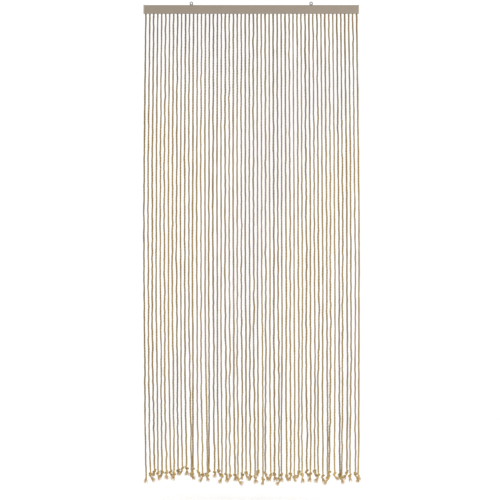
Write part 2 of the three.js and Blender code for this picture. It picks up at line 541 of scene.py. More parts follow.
@dataclass(frozen=True)
class FrayedFibre:
    """The same bast fibre combed out at a cut end: loose straw strands, each a little different."""

    name: str = "frayed_bast_fibre"
    dark_colour: str = "#a8874f"
    pale_colour: str = "#e6cd9b"
    roughness: float = 0.8
    ior: float = 1.53  # cellulose

    def build(self) -> bpy.types.Material:
        """Makes the material, with a tint for each fibre.

        Returns:
            The material.
        """
        material, tree, shader = new_material(self.name)
        tint = add_node(tree, "ShaderNodeAttribute", {"attribute_name": Mark.TINT.value})
        colour = add_node(
            tree, "ShaderNodeMix", COLOURS,
            {"A": linear(self.dark_colour), "B": linear(self.pale_colour)},
            {"Factor": tint.outputs["Fac"]},
        )
        feed_node(shader, {"Roughness": self.roughness, "IOR": self.ior}, {"Base Color": colour})
        return material


@dataclass(frozen=True)
class MattPlastic:
    """Extruded or moulded PVC with a matt skin: even taupe with faint clouding and a fine grain."""

    name: str
    colour: str
    cloud_colour: str
    roughness: float
    roughness_range: float = 0.08  # to either side
    cloud_size: float = 45.0
    grain_size: float = 1.2  # three times a real skin's, so that it shows
    grain_height: float = 0.04
    grain_strength: float = 0.4
    ior: float = 1.53  # PVC

    def build(self) -> bpy.types.Material:
        """Makes the material.

        Returns:
            The material.
        """
        material, tree, shader = new_material(self.name)
        place = add_node(tree, "ShaderNodeTexCoord").outputs["Object"]
        clouds, grain = (
            add_node(
                tree, "ShaderNodeTexNoise",
                values={"Scale": 1 / (size * MM), "Detail": detail}, links={"Vector": place},
            )
            for size, detail in ((self.cloud_size, 3.0), (self.grain_size, 1.0))
        )
        colour = add_node(
            tree, "ShaderNodeMix", COLOURS,
            {"A": linear(self.colour), "B": linear(self.cloud_colour)}, {"Factor": clouds},
        )
        low, high = self.roughness - self.roughness_range, self.roughness + self.roughness_range
        roughness = add_node(
            tree, "ShaderNodeMapRange", values={"To Min": low, "To Max": high}, links={"Value": grain}
        )
        bump = add_node(
            tree, "ShaderNodeBump",
            values={"Strength": self.grain_strength, "Distance": self.grain_height * MM},
            links={"Height": grain},
        )
        links = {"Base Color": colour, "Roughness": roughness, "Normal": bump}
        feed_node(shader, {"IOR": self.ior}, links)
        return material


@dataclass(frozen=True)
class ZincSteel:
    """Drawn steel wire, bent cold and zinc plated: grey, satin, with the plating's faint patches."""

    name: str = "zinc_plated_steel"
    colour: str = "#7f7d78"
    patch_colour: str = "#605f5b"
    roughness: float = 0.38
    roughness_range: float = 0.1  # to either side
    patch_size: float = 4.0

    def build(self) -> bpy.types.Material:
        """Makes the material.

        Returns:
            The material.
        """
        material, tree, shader = new_material(self.name)
        patches = add_node(
            tree, "ShaderNodeTexNoise", values={"Scale": 1 / (self.patch_size * MM), "Detail": 2.0},
            links={"Vector": add_node(tree, "ShaderNodeTexCoord").outputs["Object"]},
        )
        colour = add_node(
            tree, "ShaderNodeMix", COLOURS,
            {"A": linear(self.colour), "B": linear(self.patch_colour)}, {"Factor": patches},
        )
        low, high = self.roughness - self.roughness_range, self.roughness + self.roughness_range
        roughness = add_node(
            tree, "ShaderNodeMapRange", values={"To Min": low, "To Max": high}, links={"Value": patches}
        )
        feed_node(shader, {"Metallic": 1.0}, {"Base Color": colour, "Roughness": roughness})
        return material


@dataclass(frozen=True)
class CottonTape:
    """Woven cotton tape: a plain weave of soft cream threads."""

    name: str = "woven_cotton_tape"
    colour: str = "#b9ad96"
    gap_colour: str = "#7d725f"
    thread_spacing: float = 1.2
    thread_height: float = 0.2
    roughness: float = 0.9

    def build(self) -> bpy.types.Material:
        """Makes the material, with threads along and across the rail.

        Returns:
            The material.
        """
        material, tree, shader = new_material(self.name)
        place = add_node(tree, "ShaderNodeTexCoord").outputs["Object"]
        # At scale 1 the wave has 20 radians in a metre.
        wave_scale = math.pi / (10 * self.thread_spacing * MM)
        threads = [
            add_node(
                tree, "ShaderNodeTexWave", {"bands_direction": direction}, {"Scale": wave_scale},
                {"Vector": place},
            ).outputs["Fac"]
            for direction in ("X", "Y")
        ]
        weave = add_node(tree, "ShaderNodeMath", MULTIPLY, links=dict(enumerate(threads)))
        colour = add_node(
            tree, "ShaderNodeMix", COLOURS,
            {"A": linear(self.gap_colour), "B": linear(self.colour)}, {"Factor": weave},
        )
        bump = add_node(
            tree, "ShaderNodeBump", values={"Distance": self.thread_height * MM}, links={"Height": weave}
        )
        feed_node(shader, {"Roughness": self.roughness}, {"Base Color": colour, "Normal": bump})
        return material


# How the ropes hang


class HemPoint(NamedTuple):
    """Drop of the knots below the rail's top face at one strand."""

    strand: int
    drop: float


class ClosePair(NamedTuple):
    """A strand and its right neighbour that hang closer at the hem, and how far apart they are there."""

    left: int
    apart: float


@dataclass(frozen=True)
class Hang:
    """The row's lie, by the rule of the solids, with livelier tails and wider close pairs."""

    count: int = 54
    pitch: float = 16.6
    rail_height: float = 36.0
    fan: float = 0.021
    fan_turns: float = 0.44
    lean: float = 5.0
    depth: float = 5.5
    wander: float = 1.2
    wander_turns: float = 2.2
    hem_uneven: float = 8.0
    pair_stagger: float = 9.0
    loose_strand: int = 1  # the one with no knot
    tail_sideways: float = 15.0
    tail_depth: float = 1.0
    tail_uneven: float = 0.2  # share of its length by which a tail is longer or shorter
    hem_line: tuple[HemPoint, ...] = (
        HemPoint(1, 1964),
        HemPoint(4, 1945),
        HemPoint(7, 1954),
        HemPoint(10, 1937),
        HemPoint(15, 1954),
        HemPoint(19, 1947),
        HemPoint(22, 1969),
        HemPoint(26, 1961),
        HemPoint(31, 1962),
        HemPoint(36, 1968),
        HemPoint(41, 1954),
        HemPoint(46, 1962),
        HemPoint(54, 1961),
    )
    close_pairs: tuple[ClosePair, ...] = (
        ClosePair(12, 7),
        ClosePair(16, 7),
        ClosePair(18, 12.5),
        ClosePair(19, 12),
        ClosePair(23, 12),
        ClosePair(28, 13),
        ClosePair(30, 9),
        ClosePair(34, 8.5),
        ClosePair(39, 11.5),
        ClosePair(43, 13),
        ClosePair(46, 8),
        ClosePair(49, 7.5),
        ClosePair(51, 12),
        ClosePair(53, 11.5),
    )

    @staticmethod
    def uneven(strand: int, trait: Trait) -> float:
        """Gives a steady uneven number from -1 to 1 for a strand, from multiples of a square root."""
        return 2 * (strand * math.sqrt(trait.value) % 1.0) - 1

    @staticmethod
    def front(strand: int) -> int:
        """Gives 1 for a strand that hangs in front and -1 for one behind."""
        return 1 if strand % 2 == 0 else -1

    def shift(self, strand: int) -> float:
        """Gives how far close neighbours draw a strand sideways at the hem."""
        pulls = {pair.left: (self.pitch - pair.apart) / 2 for pair in self.close_pairs}
        return pulls.get(strand, 0.0) - pulls.get(strand - 1, 0.0)

    def fall(self, strand: int) -> float:
        """Gives how far a strand's knot falls to clear that of a close neighbour."""
        lefts = {pair.left for pair in self.close_pairs}
        paired = strand in lefts or strand - 1 in lefts
        return self.front(strand) * self.pair_stagger if paired else 0.0

    def knot_drop(self, strand: int) -> float:
        """Gives the drop of a strand's knot below the rail's top face.

        Args:
            strand: the strand's number.

        Returns:
            The drop on the hem line, with the strand's own fall and unevenness.
        """
        after = next(
            place for place, point in enumerate(self.hem_line) if place and point.strand >= strand
        )
        left, right = self.hem_line[after - 1], self.hem_line[after]
        share = smooth_step((strand - left.strand) / (right.strand - left.strand))
        line = left.drop + (right.drop - left.drop) * float(share)
        return line + self.fall(strand) + self.hem_uneven * self.uneven(strand, Trait.HEM)

    def centre(self, strand: int, share: np.ndarray) -> np.ndarray:
        """Gives points on a strand's centre line.

        Args:
            strand: the strand's number.
            share: shares of its drop, 0 at the rail's underside and 1 at its knot.

        Returns:
            A point for each share.
        """
        root = (strand - (self.count + 1) / 2) * self.pitch
        fan = self.fan * root * np.sin(math.tau * self.fan_turns * share)
        own_phase = math.pi * self.uneven(strand, Trait.WANDER)
        turn = math.tau * self.wander_turns * share + own_phase
        x = (
            root
            + fan
            + self.lean * share**2
            + self.shift(strand) * share**3
            + self.wander * share * np.sin(turn)
        )
        y = -self.front(strand) * self.depth * share**2
        z = -self.rail_height + (self.rail_height - self.knot_drop(strand)) * share
        return np.stack([x, y, z], axis=1)

    def tail_lean(self, strand: int) -> np.ndarray:
        """Gives how far the end of a strand's tail lies to the side of its knot."""
        sideways = self.tail_sideways * self.uneven(strand, Trait.TAIL_LEAN)
        return np.array([sideways, -self.front(strand) * self.tail_depth, 0.0])

    def tail_share(self, strand: int) -> float:
        """Gives the length of a strand's tail, as a share of a whole tail."""
        return 1 + self.tail_uneven * self.uneven(strand, Trait.TAIL_LENGTH)


@dataclass(frozen=True)
class OverhandKnot:
    """A single overhand knot, pulled tight from a loose trefoil between two fixed ends."""

    rope_radius: float = 2.75  # of the rope where the knot squeezes it
    span: float = 48.0  # between the fixed ends
    points: int = 72
    rounds: int = 420
    settle: int = 8  # corrections in each round
    stiffness: float = 0.1
    length_in_knot: float = 7.6  # rope diameters taken up
    draw_share: float = 0.75  # of the rounds, in which the rope is drawn to its length
    hold_share: float = 0.2  # of the rounds, in which its ends are led to their places
    free_length: float = 2.8  # radii of rope along which it may touch itself
    push: float = 0.25  # of an overlap, for each of its two points
    even_out: float = 0.45  # of a step's error, for each of its two points
    loose_reach: float = 2.3  # of the trefoil's parameter to each side
    loose_points: int = 400
    loose_shape: tuple[float, float, float] = (1.6, 1.6, 0.3)  # the trefoil's sides and height
    body_height: float = 2.5  # radii above and below the middle
    body_share: float = 0.3  # of the way to the ends, in which the whole knot is centred

    def centre_line(self) -> np.ndarray:
        """Pulls the knot tight.

        Returns:
            Points from the lower end to the upper one, centred on the upright axis.
        """
        line = self.loose_line()
        start = np.linalg.norm(np.diff(line, axis=0), axis=1).sum()
        target = self.span + self.length_in_knot * 2 * self.rope_radius
        ends = np.array([[0, 0, -self.span / 2], [0, 0, self.span / 2]])
        first, second = np.triu_indices(self.points, 2)
        for number in range(self.rounds):
            drawn = min(1.0, number / (self.draw_share * self.rounds))
            step = (start + (target - start) * drawn) / (self.points - 1)
            held = min(1.0, number / (self.hold_share * self.rounds))
            line[1:-1] += self.stiffness * (0.5 * (line[:-2] + line[2:]) - line[1:-1])
            apart = (second - first) * step > self.free_length * self.rope_radius
            for _ in range(self.settle):
                self.push_apart(line, first[apart], second[apart])
                self.even_steps(line, step)
                line[[0, -1]] += held * (ends - line[[0, -1]])
        return self.centred(line)

    def loose_line(self) -> np.ndarray:
        """Gives the long trefoil, with evenly spaced points.

        Returns:
            Points of the loose knot, as tall as the span.
        """
        t = np.linspace(-self.loose_reach, self.loose_reach, self.loose_points)
        bends = (t**3 - 3 * t, t**4 - 4 * t**2 + 2, t**5 - 10 * t)
        line = np.stack([size * bend for size, bend in zip(self.loose_shape, bends)], axis=1)
        line *= self.span / np.ptp(line[:, 2])
        steps = np.linalg.norm(np.diff(line, axis=0), axis=1)
        along = np.concatenate([[0.0], np.cumsum(steps)])
        even = np.linspace(0.0, along[-1], self.points)
        return np.stack([np.interp(even, along, line[:, k]) for k in range(3)], axis=1)

    def push_apart(self, line: np.ndarray, first: np.ndarray, second: np.ndarray) -> None:
        """Moves points of the rope that lie in each other apart.

        Args:
            line: the rope's points, which are moved.
            first: one point of each pair that may not touch.
            second: the other point of each pair.
        """
        between = line[second] - line[first]
        distance = np.linalg.norm(between, axis=1)
        touch = distance < 2 * self.rope_radius
        share = self.push * (2 * self.rope_radius / distance[touch] - 1)
        move = share[:, None] * between[touch]
        np.add.at(line, first[touch], -move)
        np.add.at(line, second[touch], move)

    def even_steps(self, line: np.ndarray, step: float) -> None:
        """Draws the steps between points towards one length.

        Args:
            line: the rope's points, which are moved.
            step: the length of a step.
        """
        between = np.diff(line, axis=0)
        length = np.linalg.norm(between, axis=1)
        move = (self.even_out * (1 - step / length))[:, None] * between
        line[:-1] += move
        line[1:] -= move

    def centred(self, line: np.ndarray) -> np.ndarray:
        """Moves the knot's body onto the axis and leaves its ends there.

        Args:
            line: the tight knot's points, which are moved.

        Returns:
            The same points.
        """
        body = np.abs(line[:, 2]) < self.body_height * self.rope_radius
        middle = (line[body].max(axis=0) + line[body].min(axis=0)) / 2
        reach = np.abs(line[:, 2]) / (self.span / 2)
        weight = 1 - smooth_step((reach - self.body_share) / (1 - self.body_share))
        line[:, :2] -= weight[:, None] * middle[:2]
        return line


# Sub-assemblies


@dataclass
class Ropes:
    """The row of laid ropes, from their roots in the rail's groove to their frayed tails."""

    hang: Hang = Hang()
    knot: OverhandKnot = OverhandKnot()
    finish: LaidRope = LaidRope()
    frayed: FrayedFibre = FrayedFibre()
    node: str = "ropes"
    radius: float = 3.7  # at the crest of a ply
    ply_groove: float = 0.2  # share of the radius that the grooves are deep
    groove_sharpness: float = 4.0  # power with which a groove narrows
    section_points: int = 8
    lay_length: float = 22.6  # one turn of the plies
    lay_uneven: float = 0.08  # share by which a rope is laid up harder or softer
    lay_drift: float = 0.12  # turns by which the lay runs ahead and behind along a rope
    drift_length: float = 170.0
    root_length: float = 5.0
    step: float = 2.3
    crinkle_height: float = 9.0
    crinkle_length: float = 75.0
    crinkle_roughness: float = 0.7
    crinkle_rows: float = 5.3  # rows of the noise, and radians of turn, from one rope to the next
    lumpiness: float = 0.6
    calm_length: float = 30.0  # at the root and the knot, where the rope is held straight
    liveliness: float = 0.65  # mean share of the full crinkle
    lively_uneven: float = 0.35  # how far a rope's own share lies above or below it
    hem_freedom: float = 0.6  # share by which the crinkle grows towards the hem
    girth_uneven: float = 0.08  # share by which a rope is thicker or thinner than the next
    squeeze_full: float = 6.0  # above and below a knot's middle, where it squeezes the rope
    squeeze_fade: float = 8.0  # beyond that, over which the rope gets its full girth
    tone_uneven: float = 0.12  # share by which it is lighter or darker
    rail_shade_tone: float = 0.82  # at the root: painted shade that darkens the rope next to the rail
    rail_shade_length: float = 420.0  # of rope below the root over which the painted shade near the rail eases off
    warm_length: float = 300.0  # above the knot, over which the rope gets warmer
    warm_share: float = 0.3  # of the hem's colour that comes over the warm length
    straw_length: float = 35.0  # over which it turns to straw
    tail_start: float = 9.5  # below the knot's middle
    tail_end: float = 16.5
    tail_least: float = 2.0  # shortest rope in a tail
    tail_step: float = 0.6  # share of the rope's plain step
    tail_join: float = 9.0  # over which the tail leaves the knot
    tail_full: float = 27.0  # where the tail's whole lean is reached
    knot_overlap: float = 1.0  # by which the knot's line stops above the tail
    mirrored: int = 3  # one knot in so many is tied the other way round
    way_steps: int = 3  # steps at a tail's end that give its direction
    strands_in_piece: int = 9
    hair_density: float = 1700.0  # stray fibres on a square metre of rope
    hair_length: float = 4.0
    hair_radius: float = 0.07
    hair_bow: Bow = ((0.0, 0.0, -0.1), (0.2, 0.0, 0.5), (0.9, 0.0, 0.6))
    hair_sizes: tuple[float, float] = (0.4, 1.2)  # least and greatest, as shares of the hair's length
    tuft_fibres: int = 90
    tuft_length: float = 15.0
    tuft_root: float = 5.0  # how far the loose fibres reach up into the rope's end
    tuft_radius: float = 0.38
    tuft_inside: float = 0.8  # share of the rope's radius that the fibres start in
    tuft_spread: float = 0.45  # sideways reach of a tuft for each unit of its length
    tuft_uneven: float = 0.17  # how far a tuft's own spread lies above or below it
    tuft_depth: float = 0.45  # its spread to the front and back, as a share of that to the sides
    tuft_bow: Bow = ((0.0, 0.0, 0.0), (0.02, 0.0, 0.6), (0.14, 0.0, 1.0))
    tuft_sizes: tuple[float, float] = (0.6, 1.0)  # of its fibres, as shares of their length
    tuft_tip: float = 0.35  # share of a fibre's radius at its tip
    seed: int = 7

    def build(self) -> list[bpy.types.Object]:
        """Makes the ropes in groups, then all their frayed ends.

        Returns:
            The finished pieces.
        """
        inputs = self.rope_inputs(self.finish.build())
        tree = self.rope_tree(inputs)
        knot_line = self.knot.centre_line()[::-1]
        pieces = []
        ends: list[np.ndarray] = []
        ways: list[np.ndarray] = []
        for first in range(1, self.hang.count + 1, self.strands_in_piece):
            last = min(first + self.strands_in_piece - 1, self.hang.count)
            strands = range(first, last + 1)
            paths = [self.path(strand, knot_line) for strand in strands]
            marks = [self.marks(strand, path) for strand, path in zip(strands, paths)]
            piece = path_object(
                f"ropes_{first:02d}_{last:02d}",
                paths,
                {mark: [row[mark] for row in marks] for mark in marks[0]},
            )
            pieces.append(run_tree(piece, tree, inputs))
            ends += [path[-1:] for path in paths]
            ways += [path[-1:] - path[-1 - self.way_steps : -self.way_steps] for path in paths]
        pieces.append(self.frayed_ends(ends, ways))
        for piece in pieces:
            seat(piece, Slot.ROPE, self.node)
        return pieces

    def path(self, strand: int, knot_line: np.ndarray) -> np.ndarray:
        """Lays out a strand's centre line from its root to the end of its tail.

        Args:
            strand: the strand's number.
            knot_line: the tight knot, from its upper end to its lower one.

        Returns:
            The points, in order.
        """
        knotted = strand != self.hang.loose_strand
        knot_middle = self.hang.centre(strand, np.array([1.0]))[0]
        drop = self.hang.knot_drop(strand) - self.hang.rail_height
        straight = drop - self.knot.span / 2 if knotted else drop
        shares = np.arange(0.0, straight - self.step / 2, self.step) / drop
        line = self.hang.centre(strand, shares)
        root = line[0] + np.array([[0, 0, self.root_length], [0, 0, self.step]])
        tail_from = self.tail_start if knotted else self.step
        tail_end = max(self.tail_end * self.hang.tail_share(strand), tail_from + self.tail_least)
        down = np.arange(tail_from, tail_end, self.step * self.tail_step)
        lean = self.hang.tail_lean(strand) * smooth_step(down / self.tail_full)[:, None]
        tail = knot_middle + lean - np.outer(down, (0, 0, 1))
        if not knotted:
            return np.concatenate([root, line, tail])
        knot = self.placed_knot(strand, knot_line, line[-1], knot_middle)
        aside = (knot[-1] - tail[0]) * np.array([1.0, 1.0, 0.0])
        tail += np.outer(1 - smooth_step((down - tail_from) / self.tail_join), aside)
        return np.concatenate([root, line, knot, tail])

    def placed_knot(
        self, strand: int, knot_line: np.ndarray, above: np.ndarray, middle: np.ndarray
    ) -> np.ndarray:
        """Turns the knot its own way on a strand and joins it to the rope above.

        Args:
            strand: the strand's number.
            knot_line: the tight knot, from its upper end to its lower one.
            above: the last point of the straight rope.
            middle: where the knot's middle lies.

        Returns:
            The knot's points, less its lower end, where the tail takes over.
        """
        lowest = np.nonzero(knot_line[:, 2] > self.knot_overlap - self.tail_start)[0][-1]
        line = knot_line[: lowest + 1].copy()
        if strand % self.mirrored == 0:
            line[:, 0] *= -1
        angle = math.pi * self.hang.uneven(strand, Trait.KNOT_TURN)
        turn = np.array([[math.cos(angle), math.sin(angle)], [-math.sin(angle), math.cos(angle)]])
        line[:, :2] = line[:, :2] @ turn
        sway = (above - middle) * np.array([1.0, 1.0, 0.0])
        height = np.clip(line[:, 2] / (self.knot.span / 2), 0.0, 1.0)
        return middle + line + np.outer(smooth_step(height), sway)

    def marks(self, strand: int, path: np.ndarray) -> dict[Mark, np.ndarray]:
        """Works out what a strand's points carry.

        Args:
            strand: the strand's number.
            path: its points.

        Returns:
            The values of each mark along the strand.
        """
        steps = np.linalg.norm(np.diff(path, axis=0), axis=1)
        along = np.concatenate([[0.0], np.cumsum(steps)])
        drop = self.hang.knot_drop(strand)
        to_knot = path[:, 2] + drop
        squeeze = self.knot.rope_radius / self.radius
        in_knot = 1 - smooth_step((np.abs(to_knot) - self.squeeze_full) / self.squeeze_fade)
        if strand == self.hang.loose_strand:
            in_knot = np.zeros_like(in_knot)
        calm_above = smooth_step((to_knot - self.knot.span / 2) / self.calm_length)
        calm = smooth_step(along / self.calm_length) * calm_above
        lively = self.liveliness + self.lively_uneven * self.hang.uneven(strand, Trait.LIVELINESS)
        freedom = 1 + self.hem_freedom * np.clip(-path[:, 2] / drop, 0.0, 1.0) ** 2
        own_girth = self.girth_uneven * self.hang.uneven(strand, Trait.GIRTH)
        own_tone = 1 + self.tone_uneven * self.hang.uneven(strand, Trait.TONE)
        # painted shade: the rope is darker near the rail and lightens over the first stretch below its root
        past_rail_shade = np.clip(along / self.rail_shade_length, 0.0, 1.0)
        own_lay = self.lay_length * (1 + self.lay_uneven * self.hang.uneven(strand, Trait.LAY))
        drift = self.lay_drift * np.sin(math.tau * along / self.drift_length + strand)
        warm = smooth_step(1 - to_knot / self.warm_length)
        straw = smooth_step(1 - to_knot / self.straw_length)
        return {
            Mark.ALONG: along * MM,
            Mark.STRAND: np.full(len(path), float(strand)),
            Mark.HEM: self.warm_share * warm + (1 - self.warm_share) * straw,
            Mark.GIRTH: 1 + own_girth * (1 - in_knot) - (1 - squeeze) * in_knot,
            Mark.CRINKLE: calm * lively * freedom,
            Mark.TONE: own_tone * (self.rail_shade_tone + (1 - self.rail_shade_tone) * past_rail_shade),
            Mark.TURNS: along / own_lay + drift,
        }

    def rope_inputs(self, material: bpy.types.Material) -> dict[str, Any]:
        """Gives the rope tree's inputs.

        Args:
            material: the ropes' finish.

        Returns:
            A value for each input, by the input's name.
        """
        return {
            "Rope radius": self.radius * MM,
            "Ply groove": self.ply_groove,
            "Groove sharpness": self.groove_sharpness,
            "Section points": self.section_points,
            "Crinkle height": self.crinkle_height * MM,
            "Crinkle length": self.crinkle_length * MM,
            "Crinkle roughness": self.crinkle_roughness,
            "Crinkle rows": self.crinkle_rows,
            "Lumpiness": self.lumpiness,
            "Hair density": self.hair_density,
            "Hair length": self.hair_length * MM,
            "Hair radius": self.hair_radius * MM,
            "Seed": self.seed,
            "Finish": material,
        }

    def rope_tree(self, inputs: dict[str, Any]) -> bpy.types.NodeTree:
        """Builds the tree that crinkles a line, lays a two-ply rope along it and adds stray fibres.

        Args:
            inputs: the tree's inputs.

        Returns:
            The tree.
        """
        tree, size = new_tree("laid_rope", inputs)
        along, strand, girth, share, turns = (
            add_node(tree, "GeometryNodeInputNamedAttribute", values={"Name": mark.value})
            for mark in (Mark.ALONG, Mark.STRAND, Mark.GIRTH, Mark.CRINKLE, Mark.TURNS)
        )
        line = add_node(tree, "GeometryNodeMeshToCurve", links={"Mesh": size["Geometry"]})
        waves = add_node(
            tree, "ShaderNodeMath", {"operation": "DIVIDE"}, links={0: along, 1: size["Crinkle length"]}
        )
        own_row = add_node(
            tree, "ShaderNodeMath", MULTIPLY, links={0: strand, 1: size["Crinkle rows"]}
        )
        wave_place = add_node(
            tree, "ShaderNodeCombineXYZ", links={"X": waves, "Y": own_row, "Z": size["Seed"]}
        )
        crinkle = add_node(
            tree, "ShaderNodeTexNoise", values={"Scale": 1.0, "Detail": 2.0},
            links={"Vector": wave_place, "Roughness": size["Crinkle roughness"]},
        )
        about_zero = add_node(
            tree, "ShaderNodeVectorMath", SUBTRACT,
            {1: (0.5, 0.5, 0.5)}, {0: crinkle.outputs["Color"]},
        )
        level = add_node(
            tree, "ShaderNodeVectorMath", MULTIPLY, {1: (1.0, 1.0, 0.0)}, {0: about_zero}
        )
        height = add_node(
            tree, "ShaderNodeMath", MULTIPLY, links={0: size["Crinkle height"], 1: share}
        )
        offset = add_node(tree, "ShaderNodeVectorMath", SCALE, links={0: level, "Scale": height})
        crinkled = add_node(
            tree, "GeometryNodeSetPosition", links={"Geometry": line, "Offset": offset}
        )
        tilt = add_node(
            tree, "ShaderNodeMath", MULTIPLY_ADD, {1: math.tau}, {0: turns, 2: own_row}
        )
        laid = add_node(tree, "GeometryNodeSetCurveTilt", links={"Curve": crinkled, "Tilt": tilt})
        upright = add_node(tree, "ShaderNodeSeparateXYZ", links={"Vector": about_zero})
        lumpy = add_node(
            tree, "ShaderNodeMath", MULTIPLY_ADD,
            links={0: upright.outputs["Z"], 1: size["Lumpiness"], 2: girth},
        )
        rope = add_node(
            tree, "GeometryNodeCurveToMesh", values={"Fill Caps": True},
            links={"Curve": laid, "Profile Curve": self.ply_section(tree, size), "Scale": lumpy},
        )
        soft = add_node(tree, "GeometryNodeSetShadeSmooth", links={0: rope})
        whole = add_node(
            tree, "GeometryNodeJoinGeometry", links={0: self.stray_fibres(tree, size, rope)}
        )
        feed_node(whole, {}, {0: soft})
        end_tree(tree, whole, size["Finish"])
        return tree

    @staticmethod
    def ply_section(tree: bpy.types.NodeTree, size: bpy.types.NodeOutputs) -> bpy.types.Node:
        """Adds the rope's section: two lobes with a groove on either side, where the plies meet.

        Args:
            tree: the rope tree.
            size: the tree's inputs.

        Returns:
            The closed section, whose points carry their place in it.
        """
        ring = add_node(
            tree, "GeometryNodeCurvePrimitiveCircle",
            values={"Radius": 1.0}, links={"Resolution": size["Section points"]},
        )
        point = add_node(tree, "GeometryNodeInputPosition")
        sides = add_node(tree, "ShaderNodeSeparateXYZ", links={"Vector": point})
        to_side = add_node(
            tree, "ShaderNodeMath", {"operation": "ABSOLUTE"}, links={0: sides.outputs["X"]}
        )
        near_groove = add_node(
            tree, "ShaderNodeMath", {"operation": "POWER"},
            links={0: to_side, 1: size["Groove sharpness"]},
        )
        sunk = add_node(
            tree, "ShaderNodeMath", MULTIPLY, links={0: near_groove, 1: size["Ply groove"]}
        )
        reach = add_node(tree, "ShaderNodeMath", SUBTRACT, {0: 1.0}, {1: sunk})
        place = add_node(tree, "ShaderNodeVectorMath", SCALE, links={0: point, "Scale": reach})
        lobed = add_node(
            tree, "GeometryNodeSetPosition", links={"Geometry": ring, "Position": place}
        )
        marked = add_node(
            tree, "GeometryNodeStoreNamedAttribute", {**VECTORS, "domain": "POINT"},
            {"Name": Mark.SECTION.value}, {"Geometry": lobed, "Value": point},
        )
        spread = add_node(
            tree, "ShaderNodeCombineXYZ", links={axis: size["Rope radius"] for axis in "XYZ"}
        )
        return add_node(tree, "GeometryNodeTransform", links={"Geometry": marked, "Scale": spread})

    def stray_fibres(
        self, tree: bpy.types.NodeTree, size: bpy.types.NodeOutputs, rope: bpy.types.Node
    ) -> bpy.types.Node:
        """Adds short fibres that stand out of the rope.

        Args:
            tree: the rope tree.
            size: the tree's inputs.
            rope: the rope's mesh.

        Returns:
            The fibres, as instances.
        """
        spots = add_node(
            tree, "GeometryNodeDistributePointsOnFaces",
            links={"Mesh": rope, "Density": size["Hair density"], "Seed": size["Seed"]},
        )
        hair = bent_fibre(tree, self.hair_bow, size["Hair length"], size["Hair radius"])
        way = spots.outputs["Rotation"]
        turned, length = scattered(tree, size["Seed"], way, self.hair_sizes)
        return add_node(
            tree, "GeometryNodeInstanceOnPoints",
            links={"Points": spots, "Instance": hair, "Rotation": turned, "Scale": length},
        )

    def frayed_ends(self, ends: list[np.ndarray], ways: list[np.ndarray]) -> bpy.types.Object:
        """Makes the brush of loose fibres at the end of every rope.

        Args:
            ends: the last point of each rope.
            ways: the direction of each rope's end.

        Returns:
            One piece with all the brushes.
        """
        units = [way / np.linalg.norm(way) for way in ways]
        roots = [end - unit * self.tuft_root for end, unit in zip(ends, units)]
        strands = range(1, self.hang.count + 1)
        spread = [
            np.array([self.tuft_spread + self.tuft_uneven * self.hang.uneven(strand, Trait.GIRTH)])
            for strand in strands
        ]
        length = [np.array([self.hang.tail_share(strand)]) for strand in strands]
        piece = path_object(
            "frayed_ends", roots, {Mark.WAY: units, Mark.SPREAD: spread, Mark.LENGTH: length}
        )
        inputs = {
            "Fibres": self.tuft_fibres,
            "Fibre length": (self.tuft_length + self.tuft_root) * MM,
            "Fibre radius": self.tuft_radius * MM,
            "Rope radius": self.radius * self.tuft_inside * MM,
            "Seed": self.seed,
            "Finish": self.frayed.build(),
        }
        return run_tree(piece, self.tuft_tree(inputs), inputs)

    def tuft_tree(self, inputs: dict[str, Any]) -> bpy.types.NodeTree:
        """Builds the tree that sets a brush of tapered fibres at each point.

        Args:
            inputs: the tree's inputs.

        Returns:
            The tree.
        """
        tree, size = new_tree("frayed_rope_end", inputs)
        way = add_node(
            tree, "GeometryNodeInputNamedAttribute", VECTORS, {"Name": Mark.WAY.value}
        )
        spread, tail_length = (
            add_node(tree, "GeometryNodeInputNamedAttribute", values={"Name": mark.value})
            for mark in (Mark.SPREAD, Mark.LENGTH)
        )
        spots = add_node(tree, "GeometryNodeMeshToPoints", links={"Mesh": size["Geometry"]})
        many = add_node(
            tree, "GeometryNodeDuplicateElements", {"domain": "POINT"},
            links={"Geometry": spots, "Amount": size["Fibres"]},
        )
        scatter = add_node(
            tree, "FunctionNodeRandomValue", VECTORS,
            {"Min": (-1.0, -1.0, -1.0), "Max": (1.0, 1.0, 1.0)}, {"Seed": size["Seed"]},
        )
        aside = add_node(
            tree, "ShaderNodeVectorMath", SCALE, links={0: scatter, "Scale": size["Rope radius"]}
        )
        placed = add_node(tree, "GeometryNodeSetPosition", links={"Geometry": many, "Offset": aside})
        flat = add_node(
            tree, "ShaderNodeVectorMath", MULTIPLY, {1: (1.0, self.tuft_depth, 1.0)}, {0: scatter}
        )
        flare = add_node(tree, "ShaderNodeVectorMath", SCALE, links={0: flat, "Scale": spread})
        direction = add_node(tree, "ShaderNodeVectorMath", ADD, links={0: way, 1: flare})
        aimed = add_node(
            tree, "FunctionNodeAlignRotationToVector", {"axis": "Z"}, links={"Vector": direction}
        )
        turned, own_length = scattered(
            tree, size["Seed"], aimed.outputs["Rotation"], self.tuft_sizes
        )
        taper = add_node(
            tree, "ShaderNodeMapRange", values={"To Min": 1.0, "To Max": self.tuft_tip},
            links={"Value": add_node(tree, "GeometryNodeSplineParameter")},
        )
        fibre = bent_fibre(
            tree, self.tuft_bow, size["Fibre length"], size["Fibre radius"], taper
        )
        soft = add_node(tree, "GeometryNodeSetShadeSmooth", links={0: fibre})
        length = add_node(
            tree, "ShaderNodeMath", MULTIPLY, links={0: own_length, 1: tail_length}
        )
        brush = add_node(
            tree, "GeometryNodeInstanceOnPoints",
            links={"Points": placed, "Instance": soft, "Rotation": turned, "Scale": length},
        )
        tint = add_node(tree, "FunctionNodeRandomValue", links={"Seed": size["Fibres"]})
